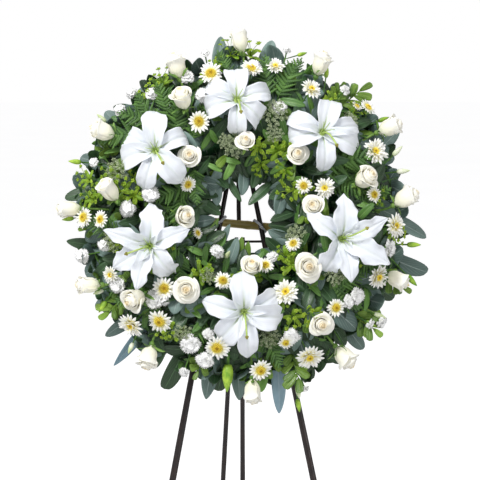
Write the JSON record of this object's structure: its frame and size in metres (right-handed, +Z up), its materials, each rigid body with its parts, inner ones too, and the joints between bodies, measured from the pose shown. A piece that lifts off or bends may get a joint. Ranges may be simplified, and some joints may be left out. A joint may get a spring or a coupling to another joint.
{
  "type": "funeral wreath",
  "caption": "Standing funeral wreath: a foam ring dressed with white lilies, roses and filler flowers, tied to an easel of tapered poles.",
  "frame": {"origin": "middle of the bounding box's base, on the floor that the easel's feet stand on", "axes": "+Z up; the wreath faces -Y; +X to the viewer's right"},
  "size_m": [0.7386, 0.5008, 1.1948],
  "materials": {
    "painted_pole": "satin black paint, faintly brown, thinly worn",
    "cane": "olive-brown cane with darker joints, satin",
    "wire": "dull galvanised binding wire",
    "tray_plastic": "dark green moulded plastic",
    "floral_foam": "wet green floral foam, matte, fine pored",
    "foliage": "living leaves from grey green to yellow green, satin",
    "lily_petal": "cool white, waxy, green at the throat",
    "rose_petal": "creamy white, velvety, warmer at the heart",
    "chrysanthemum_petal": "white rays round a yellow disc",
    "carnation_petal": "white, finely ruffled, slightly translucent"
  },
  "bodies": {
    "root": {"front_leg_left": "painted_pole", "front_leg_right": "painted_pole", "rear_leg_left": "painted_pole", "rear_leg_right": "painted_pole", "centre_post": "painted_pole", "lower_rail": "painted_pole", "crossbar": "cane", "apex_binding": "wire", "wire_tie_left": "wire", "wire_tie_right": "wire", "hanging_loop": "wire", "backing_tray": "tray_plastic", "foam_ring": "floral_foam", "greenery_01": "foliage", "greenery_02": "foliage", "greenery_03": "foliage", "greenery_04": "foliage", "greenery_05": "foliage", "greenery_06": "foliage", "lily_01": "lily_petal", "lily_02": "lily_petal", "lily_03": "lily_petal", "lily_04": "lily_petal", "lily_05": "lily_petal", "lily_06": "lily_petal", "rose_01": "rose_petal", "rose_02": "rose_petal", "rose_03": "rose_petal", "rose_04": "rose_petal", "rose_05": "rose_petal", "rose_06": "rose_petal", "rose_07": "rose_petal", "rose_08": "rose_petal", "rose_09": "rose_petal", "rose_10": "rose_petal", "rose_11": "rose_petal", "rose_12": "rose_petal", "rose_13": "rose_petal", "rose_14": "rose_petal", "rose_15": "rose_petal", "rose_16": "rose_petal", "rose_17": "rose_petal", "rose_18": "rose_petal", "rose_19": "rose_petal", "rose_20": "rose_petal", "rose_21": "rose_petal", "rose_22": "rose_petal", "rose_23": "rose_petal", "rose_24": "rose_petal", "rose_25": "rose_petal", "chrysanthemum_spray_01": "chrysanthemum_petal", "chrysanthemum_spray_02": "chrysanthemum_petal", "chrysanthemum_spray_03": "chrysanthemum_petal", "chrysanthemum_spray_04": "chrysanthemum_petal", "chrysanthemum_spray_05": "chrysanthemum_petal", "chrysanthemum_spray_06": "chrysanthemum_petal", "carnation_spray_01": "carnation_petal", "carnation_spray_02": "carnation_petal", "carnation_spray_03": "carnation_petal", "carnation_spray_04": "carnation_petal"}
  },
  "joints": []
}
